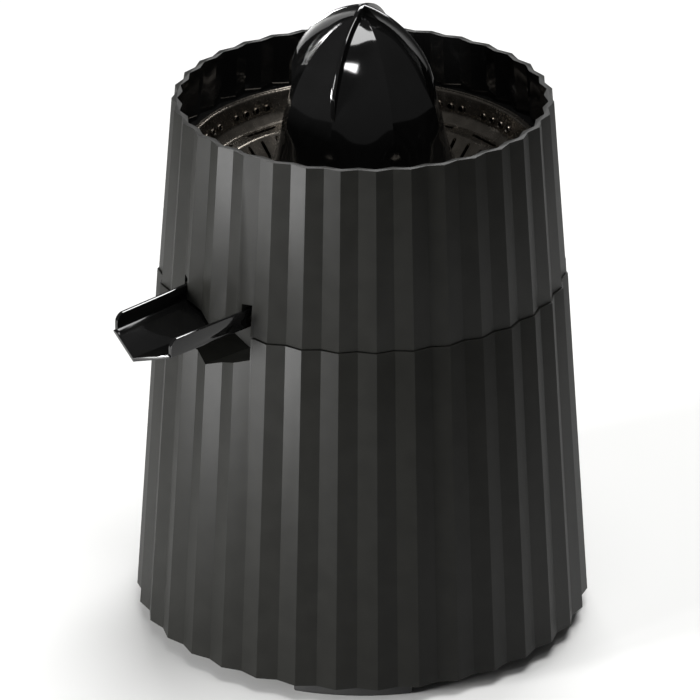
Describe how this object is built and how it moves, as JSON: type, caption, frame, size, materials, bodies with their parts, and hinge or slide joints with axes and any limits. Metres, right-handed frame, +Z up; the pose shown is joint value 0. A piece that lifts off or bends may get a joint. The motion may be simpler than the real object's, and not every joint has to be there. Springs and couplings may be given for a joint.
{
  "type": "citrus press juicer",
  "caption": "Upright electric citrus press: a tapering pleated body in two parts with a V-floored tilting spout, a slotted metal strainer dish and a ribbed dome reamer on a driven spindle.",
  "frame": {"origin": "on the drive spindle's axis, in the table plane under the rubber feet", "axes": "+Z up along the drive spindle's axis; the pouring spout points along -Y; +X to the right when facing along +Y"},
  "size_m": [0.1968, 0.2263, 0.2775],
  "materials": {
    "base_plastic": "fine-textured charcoal ABS moulding",
    "collector_plastic": "fine-textured charcoal ABS outside, polished inside",
    "gloss_plastic": "polished black ABS",
    "stainless": "pressed and perforated stainless sheet, satin",
    "nylon": "natural acetal and nylon mouldings",
    "steel": "ground or zinc-plated steel",
    "zinc_steel": "pressed zinc-plated sheet",
    "bronze": "sintered bronze, oiled",
    "brass": "hobbed brass",
    "switch_plastic": "black phenolic moulding",
    "lamination": "stacked silicon-steel laminations",
    "copper_coil": "enamelled copper winding",
    "rubber": "moulded black rubber"
  },
  "bodies": {
    "base": {"base_shell": "base_plastic", "base_plate": "base_plastic", "rubber_feet": "rubber", "base_screws": "steel", "cord_gland": "rubber", "terminal_block": "nylon", "gearbox_plate": "nylon", "gearbox_cover": "nylon", "gearbox_screws": "steel", "output_bushes": "bronze", "idler_axle": "steel", "spindle_bush_lower": "bronze", "spindle_bush_upper": "bronze", "spindle_seal": "rubber", "micro_switch": "switch_plastic", "lever_pin": "steel", "switch_bracket": "zinc_steel", "motor_bracket_bottom": "zinc_steel", "motor_bracket_top": "zinc_steel", "motor_bearings": "bronze", "stator_core": "lamination", "stator_coils": "copper_coil", "motor_bolts": "steel", "motor_standoffs": "zinc_steel"},
    "output": {"output_gear": "nylon", "return_spring": "steel"},
    "spindle": {"spindle": "stainless", "circlip": "steel", "spring_washer": "steel", "splash_disc": "rubber"},
    "reamer": {"reamer_cone": "gloss_plastic", "drive_socket": "nylon"},
    "idler": {"idler_gear": "nylon"},
    "rotor": {"rotor_core": "lamination", "motor_shaft": "steel", "cooling_fan": "nylon", "motor_pinion": "brass"},
    "lever": {"switch_lever": "steel"},
    "plunger": {"switch_plunger": "switch_plastic"},
    "collector": {"juice_collector": "collector_plastic", "drain_seal": "rubber", "spout_pins": "stainless"},
    "spout": {"spout": "gloss_plastic"},
    "strainer": {"strainer": "stainless"}
  },
  "joints": [
    {"name": "cone_spin", "type": "hinge", "parent": "base", "child": "output", "pos_m": [0, 0, 0.1125], "axis": [0, 0, 1], "continuous": true},
    {"name": "spindle_press", "type": "slide", "parent": "output", "child": "spindle", "axis": [0, 0, 1], "range_m": [-0.003, 0], "stiffness_N_per_m": 800, "springref_m": 0.006, "deforming": ["return_spring"]},
    {"name": "reamer_lift", "type": "slide", "parent": "spindle", "child": "reamer", "axis": [0, 0, 1], "range_m": [0, 0.24]},
    {"name": "idler_spin", "type": "hinge", "parent": "base", "child": "idler", "pos_m": [0.03524, 0.01283, 0.1], "axis": [0, 0, 1], "continuous": true},
    {"name": "rotor_spin", "type": "hinge", "parent": "base", "child": "rotor", "pos_m": [0.00986, 0.02466, 0.05], "axis": [0, 0, 1], "continuous": true},
    {"name": "lever_tilt", "type": "hinge", "parent": "base", "child": "lever", "pos_m": [0, -0.016, 0.0872], "axis": [1, 0, 0], "range_deg": [-11, 0]},
    {"name": "plunger_push", "type": "slide", "parent": "base", "child": "plunger", "axis": [0, 0, 1], "range_m": [-0.001, 0]},
    {"name": "collector_lift", "type": "slide", "parent": "base", "child": "collector", "axis": [0, 0, 1], "range_m": [0, 0.096]},
    {"name": "strainer_lift", "type": "slide", "parent": "collector", "child": "strainer", "axis": [0, 0, 1], "range_m": [0, 0.072]},
    {"name": "spout_tilt", "type": "hinge", "parent": "collector", "child": "spout", "pos_m": [0, -0.0765, 0.165], "axis": [1, 0, 0], "range_deg": [0, 30]}
  ],
  "couplings": [
    {"joint": "idler_spin", "follows": "cone_spin", "ratio": -4},
    {"joint": "rotor_spin", "follows": "cone_spin", "ratio": 16},
    {"joint": "reamer_lift", "follows": "collector_lift", "ratio": 2.5},
    {"joint": "strainer_lift", "follows": "collector_lift", "ratio": 0.75},
    {"joint": "lever_tilt", "follows": "spindle_press", "rad_per_m": 61.8},
    {"joint": "plunger_push", "follows": "spindle_press", "ratio": 0.3125}
  ]
}
